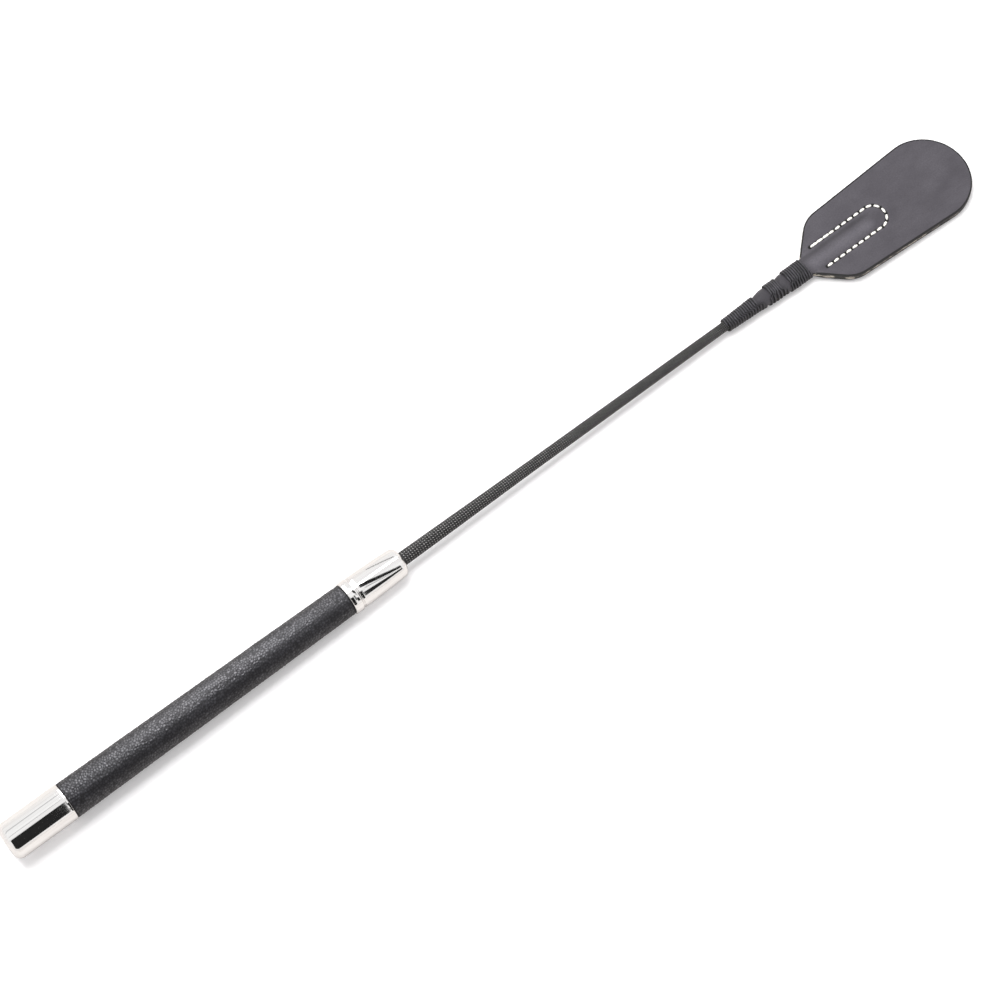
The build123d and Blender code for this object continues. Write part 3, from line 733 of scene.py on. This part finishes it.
def keeperSurface(side, shape):
    # rows run from the middle line out to the outline, over a rounded edge, down the cut edge and
    # back along the inner face; past the tip circle's centre the rows fan out from it
    outline = outlineHalf(shape)
    edgeX, edgeY = outline[:, :1], outline[:, 1:]
    footX = np.minimum(edgeX, tipCentre)
    reach = np.hypot(edgeX - footX, edgeY)
    aimX, aimY = (edgeX - footX) / reach, edgeY / reach
    opened = smooth(edgeX, shape["openFrom"], shape["openTo"])
    half = np.interp(edgeX, boundStations, boundHalf)
    height = np.interp(edgeX, boundStations, boundHeight)

    inner = np.arange(0, shape["innerReach"] + 0.01, shape["innerStep"])
    lift = np.linspace(0, 1, shape["outerRows"] + 1)[1:] ** 0.85
    shrink = np.minimum(1, reach / shape["narrowAt"])
    rounding = np.minimum(shape["edgeRadius"], 0.3 * shape["thickness"] * opened)
    flatReach = reach - rounding
    beforeRim = flatReach - shape["rimBand"] * opened
    near = inner * shrink
    far = near[:, -1:] + (beforeRim - near[:, -1:]) * lift
    openRows = np.concatenate([near, far, flatReach], axis=1)
    boundRows = half * np.sin(np.linspace(0, np.pi / 2, openRows.shape[1]))[None]
    rows = (1 - opened) * boundRows + opened * openRows
    topX, topY = footX + aimX * rows, aimY * rows
    swell = shape["windowBulge"] * windowBulge(edgeX + 0 * rows)
    topZ = faceHeight(topX, topY, opened, half, height, shape)

    edgeZ = shape["thickness"] * opened
    curve = np.radians(np.linspace(0, 90, 6))[1:][None]
    overX = reach - rounding * (1 - np.sin(curve))
    overZ = edgeZ - rounding * (1 - np.cos(curve))
    fall = np.array([[0.75, 0.5, 0.25, 0.1]])
    downReach = reach + 0.05 * opened * np.sin(np.pi * fall)
    downZ = (edgeZ - rounding) * fall
    underReach = reach - shape["rimInset"] * opened
    underZ = shape["bond"] + 0 * reach
    back = reach * np.array([[0.85, 0.7, 0.55, 0.42, 0.34, 0.26, 0.18, 0.1, 0.0]])
    backCave = np.where(footX < rodHigh[0] + 1, rodRadius(footX) + shape["caveGap"], 0)
    sleeveCave = np.where(footX < braidHigh[0], shaftRadius(footX) + shape["sleeveGap"], backCave)
    backZ = np.maximum(shape["bond"], np.sqrt(np.clip(sleeveCave ** 2 - back ** 2, 0, None)))
    reachAll = np.concatenate([rows, overX, downReach, underReach, back], axis=1)
    zAll = np.concatenate([topZ, overZ, downZ, underZ, backZ], axis=1)
    zAll = np.maximum(zAll, shape["bond"])
    points = np.stack([footX + aimX * reachAll, aimY * reachAll, side * zAll], axis=-1)
    topCount = rows.shape[1]
    edgeCount = overX.shape[1] + downReach.shape[1] + 1
    slotOf = np.zeros(points.shape[1], int)
    slotOf[topCount - 2:topCount + edgeCount] = 1
    if side > 0:
        outY, outZ = topY / half, np.sqrt(np.clip(1 - (topY / half) ** 2, 0.02, 1))
        points[:, :topCount, 1] += swell * outY * (1 - opened)
        points[:, :topCount, 2] += swell * outZ * (1 - opened)
    # the tail is skived to nothing: its first row's outer points drop onto the inner ones
    backCount = back.shape[1]
    onto = points.shape[1] - 1 - np.round(np.linspace(0, backCount - 1, topCount)).astype(int)
    points[0, :topCount] = points[0, onto]
    points[0, topCount:topCount + edgeCount] = points[0, onto[-1]]
    other = points[::-1] * np.array([1, -1, 1])
    dents = dentDepth(topX, topY, shape) / shape["holeDepth"]
    halves = {"PaintedShade": [], "BurnishAndHighlight": []}
    for hand in (1, -1):
        # the hump gets a painted highlight, partly burnish, leaning a little towards -Y, and painted shade beside
        # it on +Y
        shade = shape["shade"] * np.exp(-((hand * topY - shape["shadeAt"]) / shape["shadeWidth"]) ** 2)
        shade = shade * opened * humpShare(topX, 0 * topY, shape) + shape["bareShade"] * (1 - opened)
        paintedShade, burnishAndHighlight = np.zeros_like(zAll), np.zeros_like(zAll)
        # painted shade: stitch dimples, the strip beside the hump and the bound tail
        paintedShade[:, :topCount] = np.maximum(dents, shade)
        burnishAndHighlight[:, :topCount] = opened * humpShare(topX, hand * topY + shape["highlightLean"], shape)
        # painted highlight on the crests of the window bulges
        burnishAndHighlight[:, :topCount] += 0.5 * (1 - opened) * (swell > 0.6 * shape["windowBulge"])
        halves["PaintedShade"].append(paintedShade[::hand][hand < 0:])
        halves["BurnishAndHighlight"].append(burnishAndHighlight[::hand][hand < 0:])
    shadeAndHighlight = {key: np.concatenate(values) for key, values in halves.items()}
    return np.concatenate([points, other[1:]]), slotOf, shadeAndHighlight


for layerName, side in (("front", 1), ("back", -1)):
    layerPoints, layerSlots, layerShadeAndHighlight = keeperSurface(side, keeperShape)
    layer = buildSurface(f"keeper_{layerName}_leather", layerPoints, [keeperLeather, keeperEdge],
                         wrapAround=False, slotOf=layerSlots, extra=layerShadeAndHighlight)
    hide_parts(f"keeper_{layerName}")
    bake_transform(layer)
print("keeper made")


def stitchSurface(side, shape):
    # each stitch is an arch between its two holes: height = sunk + rise * (1 - u^4), with an oval
    # section that narrows to a point under the leather, and two plies twisted round each other
    middle, heading = stitchPlaces()
    if side > 0:
        moreMiddle, moreHeading = placeOnRow(np.array(shape["backTack"]))
        middle, heading = np.concatenate([middle, moreMiddle]), np.concatenate([heading, moreHeading])
    count = len(middle)
    random = np.random.default_rng(5 if side > 0 else 6)
    skew = random.normal(0, 0.045, count)
    heading = np.stack([heading[:, 0] * np.cos(skew) - heading[:, 1] * np.sin(skew),
                        heading[:, 0] * np.sin(skew) + heading[:, 1] * np.cos(skew)], axis=-1)
    u = np.linspace(-1, 1, 17)
    arch = 1 - u ** 4
    x = middle[:, :1] + heading[:, :1] * u * shape["length"] / 2
    y = middle[:, 1:] + heading[:, 1:] * u * shape["length"] / 2
    opened = smooth(x, keeperShape["openFrom"], keeperShape["openTo"])
    ground = faceHeight(x, y, opened, np.full_like(x, 4.4), np.full_like(x, 3.0), keeperShape, dents=False)
    ground = ground - keeperShape["grooveDepth"]
    proud = random.uniform(0.94, 1.05, count)[:, None]
    centre = ground - shape["sunk"] + (shape["sunk"] + shape["rise"]) * arch * proud
    angle = np.linspace(0, 2 * np.pi, 12, endpoint=False)
    plies = 1 + 0.09 * np.cos(2 * (angle[None, None] - 3.2 * u[None, :, None]))
    taper = np.clip(1 - np.abs(u) ** 3.2, 0, 1) ** 0.45
    wide = (shape["width"] / 2 * taper)[None, :, None] * np.cos(angle) * plies
    tall = (shape["height"] / 2 * taper)[None, :, None] * np.sin(angle) * plies
    px = x[..., None] - heading[:, 1][:, None, None] * wide
    py = y[..., None] + heading[:, 0][:, None, None] * wide
    pz = centre[..., None] + tall
    strand = (np.linspace(0, shape["length"], 17), np.linspace(0, 3, 13))
    return np.stack([px, py, side * pz], axis=-1), strand


stitchRows = (("keeper_stitching", "stitches_face", 1), ("keeper_bobbin_thread", "stitches_back", -1))
for node, pieceName, side in stitchRows:
    stitchPoints, stitchUv = stitchSurface(side, stitchShape)
    stitches = buildSurface(pieceName, stitchPoints, whiteThread, uv=stitchUv)
    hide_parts(node)
    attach(stitches, bodies["tip"])
print("stitches made")


whippingShape = {"pitch": 1.2, "halfWidth": 0.53, "halfHeight": 0.4, "perTurn": 56}
lowerSpill = (middleLow[0] - lowerHigh[0]) / 2
upperSpill = (upperLow[0] - middleHigh[0]) / 2


def threadSurface(start, end, spillBefore, spillAfter, shape):
    # one thread wound on the oval tail: the turn count runs x from start to end at the top, and on
    # into half of each window underneath; each turn is a flat rounded ribbon
    turns = round((end - start) / shape["pitch"])
    count = int(turns * shape["perTurn"])
    turn = np.linspace(0, turns, count)
    angle = 2 * np.pi * turn - 0.6
    share = turn / turns
    top = start + shape["halfWidth"] * 0.9 + (end - start - 1.8 * shape["halfWidth"]) * share
    under = top - spillBefore * (1 - share) ** 1.5 + spillAfter * share ** 1.5
    lean = np.cos(angle - 0.75)
    mix = smooth(lean, 0.1, 0.35)
    x = mix * top + (1 - mix) * under
    half = np.interp(x, boundStations, boundHalf)
    height = np.interp(x, boundStations, boundHeight)
    tuck = 0.5 * (1 - smooth(turn, 0, 0.2)) + 0.5 * smooth(turn, turns - 0.2, turns)
    wander = 0.04 * np.sin(turn * 2.4) + 0.03 * np.sin(turn * 5.1 + 1)
    away = shape["halfHeight"] - tuck + wander
    outward = np.stack([0 * angle, np.sin(angle) / half, np.cos(angle) / height], axis=-1)
    outward = outward / np.linalg.norm(outward, axis=-1, keepdims=True)
    middle = np.stack([x, half * np.sin(angle), height * np.cos(angle)], axis=-1) + outward * away[:, None]
    section = np.radians(np.arange(0, 360, 36))
    ends = np.ones(count)
    ends[[0, -1]] = 0
    u = shape["halfWidth"] * np.sign(np.cos(section)) * np.abs(np.cos(section)) ** 0.8
    v = shape["halfHeight"] * np.sign(np.sin(section)) * np.abs(np.sin(section)) ** 0.8
    axial = np.array([1.0, 0.0, 0.0])
    points = middle[:, None] + axial * (u[None] * ends[:, None])[..., None]
    points = points + outward[:, None] * (v[None] * ends[:, None])[..., None]
    run = np.linspace(0, turns * 22, count)
    # share of painted highlight round the ribbon's section: 1 on top, 0 at the sides and underneath
    crestHighlight = np.broadcast_to(np.clip(np.sin(section), 0, 1)[None], points.shape[:2])
    return points, (run, np.linspace(0, 3, 11)), crestHighlight


for node, low, high, before, after in (
    ("whipping_lower", lowerLow, lowerHigh, 0, lowerSpill),
    ("whipping_middle", middleLow, middleHigh, lowerSpill, upperSpill),
    ("whipping_upper", upperLow, upperHigh, upperSpill, 0),
):
    threadPoints, threadUv, threadHighlight = threadSurface(low[0], high[0], before, after, whippingShape)
    band = buildSurface(node + "_thread", threadPoints, waxedThread, uv=threadUv, extra={"CrestHighlight": threadHighlight})
    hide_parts(node)
    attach(band, bodies["tip"])
print("whipping made")


room = {"slope": 0.949, "azimuth": 38.25, "elevation": 68.0, "distance": 1.118, "focal": 2702,
        "lookAt": (0.2434, -0.00224, -0.0056), "domeLight": 0.8, "domeMirrored": 1.0,
        "paperGlow": 0.14, "paperMirrored": 0.15, "paperReach": 6000.0, "paperGap": 0.02,
        "keyWatts": 22.5, "keySize": 1.0, "keyFrom": (-0.36, 0.42, 1.2), "flagRadius": 150.0}


def roomAxes():
    # columns are the room's right, away and up directions, written in the crop's frame
    slope, azimuth = np.radians(room["slope"]), np.radians(room["azimuth"])
    cropX = np.array([np.cos(azimuth) * np.cos(slope), np.sin(azimuth) * np.cos(slope), -np.sin(slope)])
    up = np.array([0.0, 0.0, 1.0])
    cropZ = up - cropX * (up @ cropX)
    cropZ = cropZ / np.linalg.norm(cropZ)
    return np.stack([cropX, np.cross(cropZ, cropX), cropZ])


axes = roomAxes()
right, away, up = axes[:, 0], axes[:, 1], axes[:, 2]
lookAt = np.array(room["lookAt"])

floorPoint = np.array([frontHigh[0], 0, -keeperShape["thickness"]])
corners = np.array([[-1, -1], [1, -1], [1, 1], [-1, 1]]) * room["paperReach"]
floorPoints = floorPoint + corners[:, :1] * right + corners[:, 1:] * away - up * room["paperGap"]
floorMesh = bpy.data.meshes.new("floor")
floorMesh.from_pydata(floorPoints * mm, [], [(0, 1, 2, 3)])
floorMesh.materials.append(newMaterial(paperSweep))
floor = bpy.data.objects.new("floor", floorMesh)
bpy.context.scene.collection.objects.link(floor)


def makeWorld():
    # white studio dome, a little warmer towards the floor
    world = bpy.data.worlds.new("studioDome")
    world.use_nodes = True
    tree = world.node_tree
    tree.nodes.clear()
    sight = addNode(tree, "ShaderNodeTexCoord").outputs["Generated"]
    height = addNode(tree, "ShaderNodeVectorMath", {0: sight, 1: tuple(up)}, operation="DOT_PRODUCT")
    rise = height.outputs["Value"]
    share = addNode(tree, "ShaderNodeMapRange", {"Value": rise, "From Max": 0.7})
    colour = addNode(tree, "ShaderNodeMix", {
        0: share, 6: (1.0, 0.975, 0.955, 1), 7: (1.0, 1.0, 1.0, 1)}, data_type="RGBA")
    path = addNode(tree, "ShaderNodeLightPath").outputs["Is Glossy Ray"]
    strength = addNode(tree, "ShaderNodeMapRange", {
        "Value": path, "To Min": room["domeLight"], "To Max": room["domeMirrored"]})
    light = addNode(tree, "ShaderNodeBackground", {"Color": colour.outputs[2], "Strength": strength})
    addNode(tree, "ShaderNodeOutputWorld", {"Surface": light})
    bpy.context.scene.world = world


# strips of card that only reflections see, round the crop's axis: first and last station along
# the crop, then the two angles from upright towards -Y at each end, and how bright the card is
flags = {
    "flag_cap": (-150, 35, 14, 78, 14, 78, 0.02),
    "flag_cap_break": (37, 42, 14, 44, 14, 40, 0.02),
    "flag_cap_hook": (36, 42, 56, 70, 64, 70, 0.05),
    "flag_grip": (43, 189, 29, 84, 29, 84, 0.01),
    "flag_collar": (192.5, 199, 24, 58, 28, 62, 0.04),
    "flag_collar_glint": (194, 197, 40, 47, 40, 47, 0.9),
    "flag_ferrule_fork": (200, 243, -16, 9, 52, 68, 0.01),
    "flag_ferrule_prong": (200, 243, 44, 72, 70, 79, 0.02),
    "flag_ferrule_grey": (204, 230, 22, 27, 54, 57, 0.35),
    "flag_ferrule_line": (212, 244, -76, -71, -26, -20, 0.12),
    "flag_streak": (-110, 35, -8, -5, -8, -5, 0.55),
    "flag_streak_far": (-110, 35, -44, -38, -44, -38, 0.62),
    "flag_sheen": (43, 189, -68, -26, -68, -26, 6.2),
    "flag_strip_light": (43, 330, -20, -9, -20, -9, 11.0),
}


def makeFlag(name, first, last, lowFirst, highFirst, lowLast, highLast, brightness):
    # a curved strip: (x, -r sin a, r cos a) with the angle limits running straight between its ends
    u = np.linspace(0, 1, 24)[:, None]
    v = np.linspace(0, 1, 16)[None]
    low, high = lowFirst + (lowLast - lowFirst) * u, highFirst + (highLast - highFirst) * u
    angle = np.radians(low + (high - low) * v)
    radius = room["flagRadius"]
    x = first + (last - first) * u + 0 * v
    points = np.stack([x, -radius * np.sin(angle), radius * np.cos(angle)], axis=-1)
    material = bpy.data.materials.new(name)
    material.use_nodes = True
    tree = material.node_tree
    tree.nodes.clear()
    card = addNode(tree, "ShaderNodeEmission", {"Color": (1, 1, 1, 1), "Strength": brightness})
    addNode(tree, "ShaderNodeOutputMaterial", {"Surface": card})
    flag = buildSurface(name, points, material, wrapAround=False)
    flag.visible_camera = flag.visible_diffuse = flag.visible_shadow = False
    flag.visible_transmission = flag.visible_volume_scatter = False


def aimed(place, target, upward):
    # a matrix at a place whose -Z looks at the target
    back = (place - target) / np.linalg.norm(place - target)
    across = np.cross(upward, back)
    across = across / np.linalg.norm(across)
    matrix = np.eye(4)
    matrix[:3, :3] = np.stack([across, np.cross(back, across), back], axis=-1)
    matrix[:3, 3] = place
    return Matrix(matrix)


makeWorld()
for flagName, flagSizes in flags.items():
    makeFlag(flagName, *flagSizes)
keyLamp = bpy.data.lights.new("softbox", "AREA")
keyLamp.energy = room["keyWatts"]
keyLamp.shape = "SQUARE"
keyLamp.size = room["keySize"]
key = bpy.data.objects.new("softbox", keyLamp)
key.visible_glossy = False
key.matrix_world = aimed(lookAt + axes @ np.array(room["keyFrom"]), lookAt, up)
bpy.context.scene.collection.objects.link(key)

tilt = np.radians(room["elevation"])
toCamera = axes @ np.array([0, -np.cos(tilt), np.sin(tilt)])
cameraData = bpy.data.cameras.new("camera")
cameraData.sensor_width = 36
cameraData.lens = room["focal"] / 1000 * 36
cameraData.clip_start, cameraData.clip_end = 0.01, 50
camera = bpy.data.objects.new("camera", cameraData)
pictureUp = axes @ np.array([0, np.sin(tilt), np.cos(tilt)])
camera.matrix_world = aimed(lookAt + toCamera * room["distance"], lookAt, pictureUp)
bpy.context.scene.collection.objects.link(camera)
bpy.context.scene.camera = camera
bpy.context.scene.view_settings.view_transform = "Standard"
print("room made")
